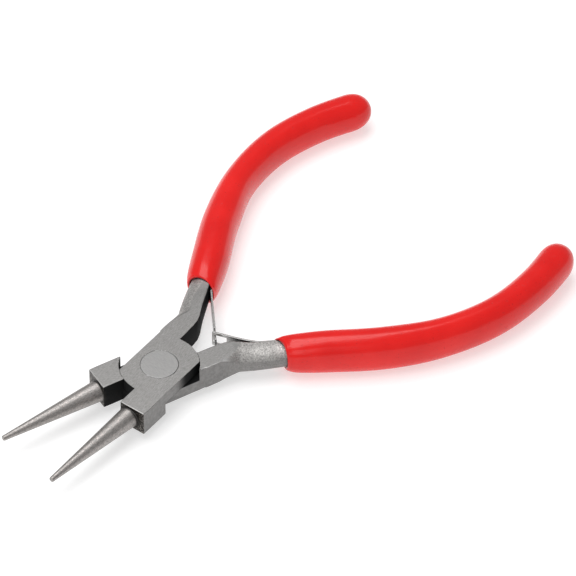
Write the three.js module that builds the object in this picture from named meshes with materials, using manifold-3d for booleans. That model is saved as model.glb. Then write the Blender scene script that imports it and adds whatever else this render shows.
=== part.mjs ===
// Round nose pliers: two identical drop-forged halves that cross in a lap joint, a flush pivot
// rivet, a dipped plastic sleeve on each handle, and a double leaf spring that opens the handles.
//
// Millimetres, +Z up.  The origin is on the pivot axis, level with the joint's underside.
// +X points at the jaw tips and +Y to their left.  The pliers lie flat and rest half open.
//
// Every piece of a half is drawn in that half's own closed frame, where x runs towards the tips,
// the jaw is on the +y side of the centre line and the handle on the -y side.  The upper half is
// that frame turned open about Z.  The lower half is the same frame flipped over about X.

import * as THREE from 'three';
import { mergeVertices } from 'three/addons/utils/BufferGeometryUtils.js';
import Module from 'manifold-3d';

const wasm = await Module();
wasm.setup();

// ---------------------------------------------------------------- driving dimensions

const HALF_OPENING = THREE.MathUtils.degToRad(11.0);   // each half's turn from closed to rest

const JOINT_THICKNESS = 6.0;
const MID = JOINT_THICKNESS / 2;
const LAP_GAP = 0.1;                // between the two cheeks
const CHEEK_RADIUS = 8.35;          // round ends of a cheek, about the pivot
const SHOULDER_RADIUS = 8.45;       // hollow shoulder that the other cheek turns in
const CHEEK_JAW_SIDE = 6.1;         // from the centre line to the straight edge on the jaw's side
const CHEEK_HANDLE_SIDE = 5.7;      // and to the edge on the handle's side

// Behind the cheek, a flat web runs out along the arm: where the arm's inner side starts, below
// the centre line, and the web's corners.
const ARM_INSIDE = 1.27;
const WEB_CORNERS = [
  [-14.9, -1.6], [-16.6, -2.45], [-14.4, -4.1], [-11.2, -5.4], [-9.0, -CHEEK_HANDLE_SIDE],
];

const BLOCK_FRONT = 13.15;          // square block that carries the jaw
const CENTRE_GAP = 0.12;            // from the centre line to the block's inner face

const JAW_ROOT = 1.5;               // of the jaw's bar, inside the block
const JAW_BASE_RADIUS = 2.3;
const JAW_TIP_RADIUS = 0.55;
const JAW_TIP_X = 36.5;
const JAW_CLEARANCE = 0.12;         // from the centre line to the jaw's inner edge

const RIVET_HEAD_RADIUS = 3.98;
const RIVET_HEAD_DEPTH = 1.4;
const RIVET_SHANK_RADIUS = 2.6;
const RIVET_CLEARANCE = 0.09;

// Sections along the handle are superellipses.  Stations give the half width and half height at
// shares of the length: of the arm and tang from the cheek, and of the sleeve from its mouth.
const ARM_STATIONS = [
  { at: 0, halfWidth: 2.2, halfHeight: MID },
  { at: 0.19, halfWidth: 2.15, halfHeight: 2.6 },
  { at: 1, halfWidth: 1.9, halfHeight: 2.3 },
];
const ARM_SQUARENESS = 3.2;

const GRIP_STATIONS = [
  { at: 0, halfWidth: 3.2, halfHeight: 3.5 },
  { at: 0.03, halfWidth: 3.6, halfHeight: 4.4 },
  { at: 0.13, halfWidth: 3.9, halfHeight: 4.8 },
  { at: 0.3, halfWidth: 3.85, halfHeight: 4.95 },
  { at: 0.5, halfWidth: 3.5, halfHeight: 4.75 },
  { at: 1, halfWidth: 3.95, halfHeight: 4.25 },
];
const GRIP_SQUARENESS = 2.15;
const GRIP_CAP = 0.075;             // share of the sleeve's length taken by its rounded end
const GRIP_WALL_GAP = 0.15;         // between the tang and the sleeve

const LEAF_THICKNESS = 0.4;
const LEAF_WIDTH = 3.8;             // along Z
const LEAF_SEAT = 0.15;             // between the leaf's base and the arm
const LEAF_POCKET = 0.25;           // free space round the leaf's base inside the sleeve
const LEAF_CROSSING_X = -15.5;      // where the two leaves cross, on the centre plane at rest
const TONGUE_WIDTH = 2.0;
const TONGUE_LENGTH = 2.6;
const T_HEAD_WIDTH = 3.4;
const T_HEAD_LENGTH = 0.7;
const SLOT_WIDTH = 2.4;
const SLOT_LENGTH = 3.0;
const SLOT_REACH = 0.42;            // past the crossing
const SLOT_END_BAR = 0.28;

// Each leaf lies along its arm, turns away from it and then runs straight to the crossing.
// The bend is a parabola whose control point is beside the arm at bendT, a share of the arm's
// curve; it starts `before` and ends `after`, in millimetres.
const LEAF_BASE_T = 0.29;           // the leaf's hidden end, as a share of the arm's curve
const TONGUE_LEAF = { bendT: 0.188, before: 1.2, after: 1.5 };
const SLOTTED_LEAF = { bendT: 0.128, before: 1.9, after: 7.0 };

const STUD_T = 0.255;               // small rivet that fixes a leaf to its arm: its place,
const STUD_RADIUS = 0.9;            // as a share of the arm's curve, and its sizes
const STUD_HEAD_RADIUS = 1.5;
const STUD_HEAD_HEIGHT = 0.5;
const STUD_DEPTH = 1.6;
const STUD_HEAD_GAP = 0.1;          // between the head and the leaf
const STUD_CLEARANCE = 0.08;

// Facets: sides round a section and steps along it.
const ROUND_SIDES = 48;             // joint and pivot rivet
const JAW_SIDES = 28;
const ARM_SIDES = 12;
const GRIP_SIDES = 20;
const STUD_SIDES = 20;
const HANDLE_STEPS = 26;
const CAP_STEPS = 5;
const ARC_STEPS = 20;
const SEAT_STEPS = 6;
const BEND_STEPS = 8;

const PAST = 1;                     // how far a cutter runs past what it cuts

// ---------------------------------------------------------------- solids

// A closed three.js geometry as a solid that can be joined and cut.
function toSolid(geometry) {
  geometry.deleteAttribute('normal');
  geometry.deleteAttribute('uv');
  const merged = mergeVertices(geometry, 1e-5);
  const mesh = new wasm.Mesh({
    numProp: 3,
    vertProperties: new Float32Array(merged.attributes.position.array),
    triVerts: new Uint32Array(merged.index.array),
  });
  return new wasm.Manifold(mesh);
}

function toMesh(solid, name, material) {
  const { vertProperties, triVerts } = solid.getMesh();
  const geometry = new THREE.BufferGeometry();
  geometry.setAttribute('position', new THREE.BufferAttribute(new Float32Array(vertProperties), 3));
  geometry.setIndex(new THREE.BufferAttribute(new Uint32Array(triVerts), 1));
  geometry.computeVertexNormals();
  const mesh = new THREE.Mesh(geometry, material);
  mesh.name = name;
  return mesh;
}

function join(solids) {
  return solids.reduce((sum, solid) => sum.add(solid));
}

// An upright round bar about the pivot axis.
function uprightBar(radius, low, high) {
  const bar = new THREE.CylinderGeometry(radius, radius, high - low, ROUND_SIDES);
  bar.rotateX(Math.PI / 2);
  bar.translate(0, 0, (low + high) / 2);
  return toSolid(bar);
}

// Stretches and bends a turned blank along a level curve.  The blank's axis runs from y = 0 to
// y = 1 and its radius is 1; section(t) gives the half width, half height and squareness there.
function bendAlong(blank, curve, section) {
  const position = blank.attributes.position;
  for (let i = 0; i < position.count; i += 1) {
    const t = THREE.MathUtils.clamp(position.getY(i), 0, 1);
    const { halfWidth, halfHeight, squareness } = section(t);
    const across = position.getX(i);
    const upward = position.getZ(i);
    const radius = Math.hypot(across, upward);
    const angle = Math.atan2(upward, across);
    const centre = curve.getPointAt(t);
    const along = curve.getTangentAt(t);
    const side = new THREE.Vector3(along.y, -along.x, 0);
    const wide = superellipse(Math.cos(angle), squareness) * halfWidth * radius;
    const tall = superellipse(Math.sin(angle), squareness) * halfHeight * radius;
    position.setXYZ(i, centre.x + side.x * wide, centre.y + side.y * wide, centre.z + tall);
  }
  return toSolid(blank);
}

function superellipse(value, exponent) {
  return Math.sign(value) * Math.abs(value) ** (2 / exponent);
}

// A blank of radius 1 with flat ends, or with its far end rounded over the share given.
function turnedBlank(sides, roundedShare = 0) {
  const profile = [new THREE.Vector2(0, 0)];
  const straight = 1 - roundedShare;
  for (let i = 0; i <= HANDLE_STEPS; i += 1) {
    profile.push(new THREE.Vector2(1, (straight * i) / HANDLE_STEPS));
  }
  if (roundedShare > 0) {
    for (let i = 1; i < CAP_STEPS; i += 1) {
      const angle = (Math.PI / 2) * (i / CAP_STEPS);
      profile.push(new THREE.Vector2(Math.cos(angle), straight + roundedShare * Math.sin(angle)));
    }
  }
  profile.push(new THREE.Vector2(0, 1));
  return new THREE.LatheGeometry(profile, sides);
}

function mix(a, b, t) {
  return a + (b - a) * t;
}

// ---------------------------------------------------------------- the handle's centre lines

function levelCurve(points) {
  const spine = points.map(([x, y]) => new THREE.Vector3(x, y, MID));
  return new THREE.CatmullRomCurve3(spine, false, 'centripetal');
}

// The arm and the tang, from inside the cheek to the tang's end inside the sleeve.
const armCurve = levelCurve([
  [-9.5, -3.5], [-12.5, -3.5], [-15.5, -4.1], [-18.5, -5.5], [-25, -8.4],
  [-32, -11.7], [-44, -17.4], [-56, -21.1], [-69, -21.8], [-80, -19.2], [-87.5, -16.1],
]);

// The sleeve, from its mouth to its rounded end.
const gripCurve = levelCurve([
  [-25.2, -8.3], [-32, -11.6], [-44, -17.6], [-56, -21.3], [-69, -21.9], [-81, -18.9],
  [-93.2, -13.1],
]);

// The half width and half height between two stations, grown by a margin.
function sectionAt(stations, squareness, t, margin = 0) {
  const next = Math.max(1, stations.findIndex((station) => station.at >= t));
  const from = stations[next - 1];
  const to = stations[next];
  const share = (t - from.at) / (to.at - from.at);
  return {
    halfWidth: mix(from.halfWidth, to.halfWidth, share) + margin,
    halfHeight: mix(from.halfHeight, to.halfHeight, share) + margin,
    squareness,
  };
}

const armSection = (t, margin) => sectionAt(ARM_STATIONS, ARM_SQUARENESS, t, margin);
const gripSection = (t) => sectionAt(GRIP_STATIONS, GRIP_SQUARENESS, t);

// ---------------------------------------------------------------- forging

// Cheek, jaw block and the root of the arm, seen from above.
function plateOutline() {
  const rearStart = Math.PI - Math.asin(CHEEK_JAW_SIDE / CHEEK_RADIUS);
  const rearEnd = Math.PI + Math.asin(ARM_INSIDE / CHEEK_RADIUS);
  const frontStart = -Math.asin(CHEEK_HANDLE_SIDE / CHEEK_RADIUS);
  const frontEnd = Math.asin(CENTRE_GAP / CHEEK_RADIUS);
  const outline = new THREE.Shape();
  outline.moveTo(BLOCK_FRONT, CENTRE_GAP);
  outline.lineTo(BLOCK_FRONT, CHEEK_JAW_SIDE);
  outline.absarc(0, 0, CHEEK_RADIUS, rearStart, rearEnd, false);
  WEB_CORNERS.forEach(([x, y]) => outline.lineTo(x, y));
  outline.absarc(0, 0, CHEEK_RADIUS, frontStart, frontEnd, false);
  return outline;
}

function jawCone() {
  const baseY = JAW_CLEARANCE + JAW_BASE_RADIUS;
  const tipY = JAW_CLEARANCE + JAW_TIP_RADIUS;
  const length = Math.hypot(JAW_TIP_X - BLOCK_FRONT, baseY - tipY);
  const profile = [
    new THREE.Vector2(0, -JAW_ROOT),
    new THREE.Vector2(JAW_BASE_RADIUS, -JAW_ROOT),
    new THREE.Vector2(JAW_BASE_RADIUS, 0),
    new THREE.Vector2(JAW_TIP_RADIUS, length - JAW_TIP_RADIUS / 2),
    new THREE.Vector2(JAW_TIP_RADIUS / 2, length),
    new THREE.Vector2(0, length),
  ];
  const cone = new THREE.LatheGeometry(profile, JAW_SIDES);
  cone.rotateZ(-Math.PI / 2 + Math.atan2(tipY - baseY, JAW_TIP_X - BLOCK_FRONT));
  cone.translate(BLOCK_FRONT, baseY, MID);
  return toSolid(cone);
}

function forging() {
  const plate = new THREE.ExtrudeGeometry(plateOutline(), {
    depth: JOINT_THICKNESS, bevelEnabled: false, curveSegments: ARC_STEPS,
  });
  const arm = bendAlong(turnedBlank(ARM_SIDES), armCurve, (t) => armSection(t));
  const headBottom = JOINT_THICKNESS - RIVET_HEAD_DEPTH - RIVET_CLEARANCE;
  const top = JOINT_THICKNESS + PAST;
  return join([toSolid(plate), arm, jawCone()])
    .subtract(uprightBar(SHOULDER_RADIUS, -PAST, MID + LAP_GAP / 2))
    .subtract(uprightBar(RIVET_SHANK_RADIUS + RIVET_CLEARANCE, -PAST, top))
    .subtract(uprightBar(RIVET_HEAD_RADIUS + RIVET_CLEARANCE, headBottom, top))
    .subtract(stud(STUD_CLEARANCE));
}

function pivotRivet() {
  const profile = [
    [0, 0],
    [RIVET_HEAD_RADIUS, 0],
    [RIVET_HEAD_RADIUS, RIVET_HEAD_DEPTH],
    [RIVET_SHANK_RADIUS, RIVET_HEAD_DEPTH],
    [RIVET_SHANK_RADIUS, JOINT_THICKNESS - RIVET_HEAD_DEPTH],
    [RIVET_HEAD_RADIUS, JOINT_THICKNESS - RIVET_HEAD_DEPTH],
    [RIVET_HEAD_RADIUS, JOINT_THICKNESS],
    [0, JOINT_THICKNESS],
  ];
  const rivet = new THREE.LatheGeometry(profile.map(([r, z]) => new THREE.Vector2(r, z)), ROUND_SIDES);
  rivet.rotateX(Math.PI / 2);
  return toSolid(rivet);
}

// ---------------------------------------------------------------- leaf spring

// A point at the arm's inner face, moved outwards from it by a given distance.
function besideArm(t, distance) {
  const centre = armCurve.getPointAt(t);
  const along = armCurve.getTangentAt(t);
  const reach = armSection(t).halfWidth + distance;
  return new THREE.Vector2(centre.x + along.y * reach, centre.y - along.x * reach);
}

const seatOffset = LEAF_SEAT + LEAF_THICKNESS / 2;

// The crossing point at rest, seen in the half's own closed frame.
const leafCrossing = new THREE.Vector2(LEAF_CROSSING_X, 0)
  .rotateAround(new THREE.Vector2(0, 0), -HALF_OPENING);

function leafHeading({ bendT }) {
  return leafCrossing.clone().sub(besideArm(bendT, seatOffset)).normalize();
}

// The leaf's middle line, from its hidden end to a point past the crossing by the reach given.
function leafLine(leaf, reach) {
  const bend = besideArm(leaf.bendT, seatOffset);
  const heading = leafHeading(leaf);
  const bendStartT = leaf.bendT + leaf.before / armCurve.getLength();
  const seat = [];
  for (let i = 0; i <= SEAT_STEPS; i += 1) {
    seat.push(besideArm(mix(LEAF_BASE_T, bendStartT, i / SEAT_STEPS), seatOffset));
  }
  const bendEnd = bend.clone().addScaledVector(heading, leaf.after);
  const turn = new THREE.QuadraticBezierCurve(seat[SEAT_STEPS], bend, bendEnd);
  const end = leafCrossing.clone().addScaledVector(heading, reach);
  return [...seat, ...turn.getPoints(BEND_STEPS).slice(1), end];
}

// A strip of the leaf's thickness along its middle line, grown by a margin on every side.
function leafStrip(leaf, reach, margin = 0) {
  const points = leafLine(leaf, reach);
  const offset = LEAF_THICKNESS / 2 + margin;
  const normals = points.map((point, i) => {
    const before = points[Math.max(i - 1, 0)];
    const after = points[Math.min(i + 1, points.length - 1)];
    const along = after.clone().sub(before).normalize();
    return new THREE.Vector2(-along.y, along.x);
  });
  const left = points.map((point, i) => point.clone().addScaledVector(normals[i], offset));
  const right = points.map((point, i) => point.clone().addScaledVector(normals[i], -offset));
  const width = LEAF_WIDTH + 2 * margin;
  const strip = new THREE.ExtrudeGeometry(new THREE.Shape([...left, ...right.reverse()]), {
    depth: width, bevelEnabled: false,
  });
  strip.translate(0, 0, MID - width / 2);
  return toSolid(strip);
}

// A block across the leaf, between two distances measured from the crossing along the leaf.
function leafCutter(leaf, from, to, low, high) {
  const heading = leafHeading(leaf);
  const middle = leafCrossing.clone().addScaledVector(heading, (from + to) / 2);
  const cutter = new THREE.BoxGeometry(to - from, 4 * LEAF_THICKNESS, high - low);
  cutter.rotateZ(heading.angle());
  cutter.translate(middle.x, middle.y, MID + (low + high) / 2);
  return toSolid(cutter);
}

// Leaf that ends in a tongue with a T head.
function tongueLeaf() {
  const reach = TONGUE_LENGTH / 2 + T_HEAD_LENGTH;
  const edge = LEAF_WIDTH / 2 + PAST;
  const headStart = TONGUE_LENGTH / 2 - 0.01;     // the two cuts of a side overlap here
  const cutters = [1, -1].flatMap((sign) => {
    const band = (inner) => [sign * inner, sign * edge].sort((a, b) => a - b);
    return [
      leafCutter(TONGUE_LEAF, -TONGUE_LENGTH / 2, TONGUE_LENGTH / 2, ...band(TONGUE_WIDTH / 2)),
      leafCutter(TONGUE_LEAF, headStart, reach + PAST, ...band(T_HEAD_WIDTH / 2)),
    ];
  });
  return leafStrip(TONGUE_LEAF, reach).subtract(join(cutters)).subtract(stud(STUD_CLEARANCE));
}

// Leaf with a slot that the tongue passes through.
function slottedLeaf() {
  const edges = [-SLOT_WIDTH / 2, SLOT_WIDTH / 2];
  const slot = leafCutter(SLOTTED_LEAF, SLOT_REACH - SLOT_LENGTH, SLOT_REACH, ...edges);
  return leafStrip(SLOTTED_LEAF, SLOT_REACH + SLOT_END_BAR)
    .subtract(slot)
    .subtract(stud(STUD_CLEARANCE));
}

// Small headed rivet that runs through the leaf's base into the arm.
function stud(margin = 0) {
  const face = armSection(STUD_T).halfWidth;
  const centre = armCurve.getPointAt(STUD_T);
  const along = armCurve.getTangentAt(STUD_T);
  const headStart = face + LEAF_SEAT + LEAF_THICKNESS + STUD_HEAD_GAP;
  const profile = [
    [0, face - STUD_DEPTH - margin],
    [STUD_RADIUS + margin, face - STUD_DEPTH - margin],
    [STUD_RADIUS + margin, headStart - margin],
    [STUD_HEAD_RADIUS + margin, headStart - margin],
    [STUD_HEAD_RADIUS + margin, headStart + STUD_HEAD_HEIGHT + margin],
    [0, headStart + STUD_HEAD_HEIGHT + margin],
  ];
  const rivet = new THREE.LatheGeometry(profile.map(([r, y]) => new THREE.Vector2(r, y)), STUD_SIDES);
  rivet.rotateZ(Math.atan2(-along.x, along.y) - Math.PI / 2);
  rivet.translate(centre.x, centre.y, MID);
  return toSolid(rivet);
}

// ---------------------------------------------------------------- sleeve

function grip(leaf) {
  const outer = bendAlong(turnedBlank(GRIP_SIDES, GRIP_CAP), gripCurve, gripSection);
  const tangPocket = bendAlong(turnedBlank(ARM_SIDES), armCurve, (t) => armSection(t, GRIP_WALL_GAP));
  return outer
    .subtract(tangPocket)
    .subtract(leafStrip(leaf, 0, LEAF_POCKET))
    .subtract(stud(LEAF_POCKET));
}

// ---------------------------------------------------------------- assembly

const groundSteel = new THREE.MeshStandardMaterial({ color: 0xa19d9c, roughness: 0.42, metalness: 1 });
const springSteel = new THREE.MeshStandardMaterial({ color: 0xbdbab6, roughness: 0.3, metalness: 1 });
const redSleeve = new THREE.MeshStandardMaterial({ color: 0xdc1414, roughness: 0.25, metalness: 0 });

const upper = new THREE.Group();
upper.rotation.set(0, 0, HALF_OPENING);

const lower = new THREE.Group();
lower.rotation.set(Math.PI, 0, HALF_OPENING);
lower.position.set(0, 0, JOINT_THICKNESS);

const sides = [
  { side: 'upper', group: upper, leaf: TONGUE_LEAF },
  { side: 'lower', group: lower, leaf: SLOTTED_LEAF },
];
for (const { side, group, leaf } of sides) {
  group.add(toMesh(forging(), `${side}_half`, groundSteel));
  group.add(toMesh(grip(leaf), `${side}_grip`, redSleeve));
  group.add(toMesh(stud(), `${side}_spring_rivet`, springSteel));
}
upper.add(toMesh(tongueLeaf(), 'upper_spring_leaf', springSteel));
lower.add(toMesh(slottedLeaf(), 'lower_spring_leaf', springSteel));

const pliers = new THREE.Group();
pliers.add(upper, lower, toMesh(pivotRivet(), 'pivot_rivet', groundSteel));

export default pliers;
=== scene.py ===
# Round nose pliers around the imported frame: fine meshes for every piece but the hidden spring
# rivets, and procedural materials for all.
import math

import bmesh
import bpy
import numpy as np
from mathutils import Matrix, Vector


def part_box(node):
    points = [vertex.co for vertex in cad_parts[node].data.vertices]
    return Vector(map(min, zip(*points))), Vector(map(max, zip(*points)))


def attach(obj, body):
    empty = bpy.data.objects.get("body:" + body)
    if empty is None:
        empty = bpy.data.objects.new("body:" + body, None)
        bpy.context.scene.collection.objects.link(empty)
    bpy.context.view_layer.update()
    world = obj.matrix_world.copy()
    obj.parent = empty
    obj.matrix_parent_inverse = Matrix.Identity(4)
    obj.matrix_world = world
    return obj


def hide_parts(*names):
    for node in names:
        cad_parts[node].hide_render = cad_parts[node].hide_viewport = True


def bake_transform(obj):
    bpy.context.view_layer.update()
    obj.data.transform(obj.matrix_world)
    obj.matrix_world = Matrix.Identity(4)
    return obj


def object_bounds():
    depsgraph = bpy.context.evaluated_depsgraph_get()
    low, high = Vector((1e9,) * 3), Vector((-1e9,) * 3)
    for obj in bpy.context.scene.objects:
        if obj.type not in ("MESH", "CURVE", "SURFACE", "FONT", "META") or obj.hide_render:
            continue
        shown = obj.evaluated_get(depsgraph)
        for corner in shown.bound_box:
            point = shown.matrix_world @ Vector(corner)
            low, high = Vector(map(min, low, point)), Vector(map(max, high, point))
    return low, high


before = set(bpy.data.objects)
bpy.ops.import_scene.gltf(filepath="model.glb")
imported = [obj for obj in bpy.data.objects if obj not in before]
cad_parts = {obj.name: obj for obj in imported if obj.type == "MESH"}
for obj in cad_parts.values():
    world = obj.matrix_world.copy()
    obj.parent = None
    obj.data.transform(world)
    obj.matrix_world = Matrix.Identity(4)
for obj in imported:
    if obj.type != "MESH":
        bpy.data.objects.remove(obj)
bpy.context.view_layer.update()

MM = 0.001
MM_PER_METRE = 1000

# ------------------------------------------------------------------ sizes, in millimetres
# A half is drawn in its own closed frame: x towards the tips, the jaw at +y, the handle at -y,
# z up from the joint's underside.  The upper half is that frame turned open about Z, and the
# lower half is the same frame flipped over about X.

rivet_low, rivet_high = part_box("pivot_rivet")
THICKNESS = (rivet_high.z - rivet_low.z) / MM
MID = THICKNESS / 2
RIVET_RADIUS = (rivet_high.x - rivet_low.x) / MM / 2
HALF_OPENING = math.radians(11.0)

CHEEK_RADIUS = 8.42
SHOULDER_RADIUS = 8.44       # of the hollow that the other half's cheek turns in
LAP_GAP = 0.1                # between the two cheeks
CHEEK_JAW_SIDE = 6.2         # the plate's two flat sides, from the centre line
CHEEK_HANDLE_SIDE = 5.7
BLOCK_FRONT = 13.25
CENTRE_GAP = 0.12            # from the centre line to the jaw block and to the cone
RIVET_GAP = 0.015            # hairline round the rivet's heads
HOLE_GAP = 0.09              # hidden clearance round the shank and under a head
RIVET_HEAD_DEPTH = 1.4
RIVET_EDGE = 0.07
SHANK_RADIUS = 2.6

JAW_BASE_RADIUS = 2.3
JAW_TIP_RADIUS = 0.55
JAW_TIP_X = 36.65
JAW_ROOT = 1.5               # how far the cone reaches back into its block
JAW_TIP_EDGE = 0.18

# rounding of edges: on the ground faces, at the jaw block's front, along the cheek's arc where
# the two halves meet, and inside the lap and the rivet's hole
EDGE = 0.1
FRONT_EDGE = 0.16
SEAM_EDGE = 0.02
LAP_EDGE = 0.05
HOLE_EDGE = 0.03
# and of inner corners: between plate and arm, and between block and cone
ARM_FILLET = 0.7
JAW_FILLET = 0.25

# corners of the flat web between cheek and arm
WEB_CORNERS = [(-14.9, -1.6), (-16.6, -2.45), (-14.4, -4.1), (-11.2, -5.4),
               (-9.0, -CHEEK_HANDLE_SIDE)]
ARM_INSIDE = 1.27            # from the centre line to where the arm's inner side leaves the cheek

# middle lines in plan of the arm with its tang, and of the sleeve
ARM_LINE = [(-8, -3.5), (-12.5, -3.5), (-15.5, -4.1), (-18.5, -5.5), (-25, -8.4), (-32, -11.7),
            (-44, -17.4), (-56, -21.1), (-69, -21.8), (-80, -19.2), (-87.5, -16.1)]
GRIP_LINE = [(-25.2, -8.3), (-32, -11.6), (-44, -17.6), (-56, -21.3), (-69, -21.9),
             (-81, -18.9), (-93.2, -13.1)]

# (distance from the line's start in mm, value)
ARM_HALF_WIDTH = [(0, 2.22), (17, 2.15), (84, 1.9)]
ARM_OUTER_EXTRA = [(0, 0.0), (3, 0.25), (7, 0.5), (14, 0.42), (22, 0.0), (84, 0.0)]
ARM_LIFT = [(0, 0.0), (6, 0.0), (13, 0.33), (84, 0.25)]      # the arm's middle above the joint's
ARM_HALF_HEIGHT = [(0, 3.3), (7.5, 3.12), (11, 2.85), (17, 2.62), (84, 2.3)]
# rounding of the outer side: across the arm, and up and down it
ARM_ROUND_ACROSS = [(0, 0.3), (2.5, 0.35), (4.5, 0.9), (6.9, 2.2), (9, 3.7), (17, 3.4), (84, 3.0)]
ARM_ROUND_HEIGHT = [(0, 0.3), (2.5, 0.5), (4.5, 1.2), (6.9, 2.0), (9, 2.6), (17, 2.5), (84, 2.2)]
ARM_INNER_EDGE = 0.35
PARTING_HEIGHT = 0.12        # ridge that the forging dies leave, and half of its width
PARTING_HALF_WIDTH = 0.2
TANG_MARGIN = 0.2            # from the tang's end to the end of its line
TANG_EDGE = 0.3

# the forging's grid: its reach, where it turns fine inside the sleeve, and its spacings
GRID_X = {"tail": -89.2, "fine_from": -31, "tip": 37.2}
GRID_Y = (-25.5, 6.6)
GRID_Z = (-0.3, THICKNESS + 0.4)
COARSE_STEP = 0.8
FINE_STEP = 0.16
HEIGHT_STEP = 0.13

# (share of the sleeve's length, value)
GRIP_HALF_WIDTH = [(0, 3.1), (0.02, 3.5), (0.05, 3.7), (0.13, 3.9), (0.3, 3.85), (0.5, 3.5),
                   (0.75, 3.65), (1, 3.95)]
GRIP_HALF_HEIGHT = [(0, 3.5), (0.02, 4.1), (0.05, 4.45), (0.13, 4.8), (0.3, 4.95), (0.5, 4.75),
                    (0.75, 4.5), (1, 4.25)]
GRIP_SQUARENESS = 2.15
# how far each sleeve's middle and half width differ from that, by share of its length: the
# vinyl is dipped, so no two sleeves are quite alike
GRIP_SHIFT = {"upper": [(0, 0), (0.1, 0.18), (0.3, 0.24), (0.5, -0.15), (0.8, -0.36), (1, -0.25)],
              "lower": [(0, 0), (0.3, 0.1), (0.6, 0.12), (1, 0)]}
GRIP_GROWTH = {"upper": [(0, 0), (0.1, 0.2), (0.3, 0.1), (0.5, -0.06), (0.8, -0.1), (1, 0)],
               "lower": [(0, 0), (0.5, -0.05), (1, 0)]}
GRIP_SIDES = 96
GRIP_CAP = 5.4               # length of the rounded end
CAP_POWER = 2.2
GRIP_LIP = 0.4               # length of the rounded rim at the mouth
POCKET_DEPTH = 66.2
MOUTH_OFFSET = 0.1           # the mouth sits outwards of the sleeve's line
MOUTH_LENGTH = 12            # which this offset fades over
# how far forward the mouth's rim reaches, from its outer side (-1) to its inner side (1), and
# how far back that slant is felt
MOUTH_SLANT = [(-1, -0.6), (0, 0.1), (1, 1.9)]
SLANT_LENGTH = 9
# room between the arm and the sleeve, and for the leaf and its rivet on the arm's inner side, by
# place along the arm
POCKET_GAP = [(15, 0.06), (20, 0.06), (24, 0.14), (84, 0.14)]
POCKET_LEAF_GAP = [(15, 0.7), (20.5, 0.7), (21.3, 1.25), (24.2, 1.25), (26.5, 0.1), (84, 0.1)]
LEAF_ROOM = 1.98             # half of the pocket's height beside the leaf
SLEEVE_WALL = 0.12           # least thickness that the pocket aims to leave
POCKET_FILLET = 0.2
# how many rings lie on the rounded end, the skin and the lip, and in the pocket near the mouth
# and deeper
GRIP_RINGS = {"cap": 22, "skin": 150, "lip": 11, "mouth": 24, "pocket": 40}

LEAF_THICKNESS = 0.4
LEAF_HALF_WIDTH = 1.9
LEAF_EDGE = 0.06
LEAF_STEP = (0.25, 0.3)      # widest cells, along and across
LEAF_SEAT = 0.15             # gap between a leaf and its arm
LEAF_CROSSING = -15.5        # on the row frame's X axis
LEAF_BASE = 25.45            # place of the hidden end along the arm
TONGUE_HALF_WIDTH = 1.0
HEAD_HALF_WIDTH = 1.7
SLOT_HALF_WIDTH = 1.2
# places along a leaf are measured from the crossing: (from, to), and where each leaf ends
TONGUE = (-1.3, 1.3)
HEAD_END = 2.0
SLOT = (-2.58, 0.42)
SLOTTED_END = 0.66
# a leaf bends off its seat this far before the bend's place, and is straight this far after it
TONGUE_BEND = {"place": 17.03, "before": 1.2, "after": 1.5}
SLOTTED_BEND = {"place": 12.07, "before": 1.9, "after": 7.0}
LONGEST_BLEND = 4            # most that the point taken past a leaf's bend lies beyond it

# The two halves have one shape, and the two sleeves nearly so: this keeps their textures apart.
STEEL_TEXTURE_SHIFT = {"upper": 0, "lower": 50}
VINYL_TEXTURE_SHIFT = {"upper": 0, "lower": 70}

# ------------------------------------------------------------------ stage and camera, in metres

FLOOR_REACH = 1.6
FLOOR_GAP = 0.0002
STUDIO_MIDDLE = (-0.03, 0, 0)

CAMERA_AZIMUTH = math.radians(136.844)
CAMERA_ELEVATION = math.radians(45.131)
CAMERA_ROLL = math.radians(0.967)
CAMERA_DISTANCE = 0.8146
CAMERA_SLIDE = (-0.02675, -0.02003)      # of the joint from the picture's centre
CAMERA_LENS = 244.2                      # in millimetres, like the sensor
CAMERA_SENSOR = 36


# ------------------------------------------------------------------ small maths

def smooth_line(points, step):
    """Points every step along a centripetal Catmull-Rom curve through the given ones."""
    samples = 40             # of the curve between two of the given points
    p = np.array(points, float)
    p = np.vstack([2 * p[0] - p[1], p, 2 * p[-1] - p[-2]])
    out = []
    for i in range(1, len(p) - 2):
        q = p[i - 1:i + 3]
        knots = np.concatenate([[0], np.cumsum(np.linalg.norm(np.diff(q, axis=0), axis=1) ** 0.5)])
        t = np.linspace(knots[1], knots[2], samples, endpoint=False)[:, None]
        a = [((knots[k + 1] - t) * q[k] + (t - knots[k]) * q[k + 1]) / (knots[k + 1] - knots[k])
             for k in range(3)]
        b = [((knots[k + 2] - t) * a[k] + (t - knots[k]) * a[k + 1]) / (knots[k + 2] - knots[k])
             for k in range(2)]
        out.append(((knots[2] - t) * b[0] + (t - knots[1]) * b[1]) / (knots[2] - knots[1]))
    dense = np.vstack(out + [p[-2:-1]])
    length = np.concatenate([[0], np.cumsum(np.linalg.norm(np.diff(dense, axis=0), axis=1))])
    at = np.linspace(0, length[-1], max(2, int(length[-1] / step)) + 1)
    return np.stack([np.interp(at, length, dense[:, k]) for k in range(dense.shape[1])], axis=1), at


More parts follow.
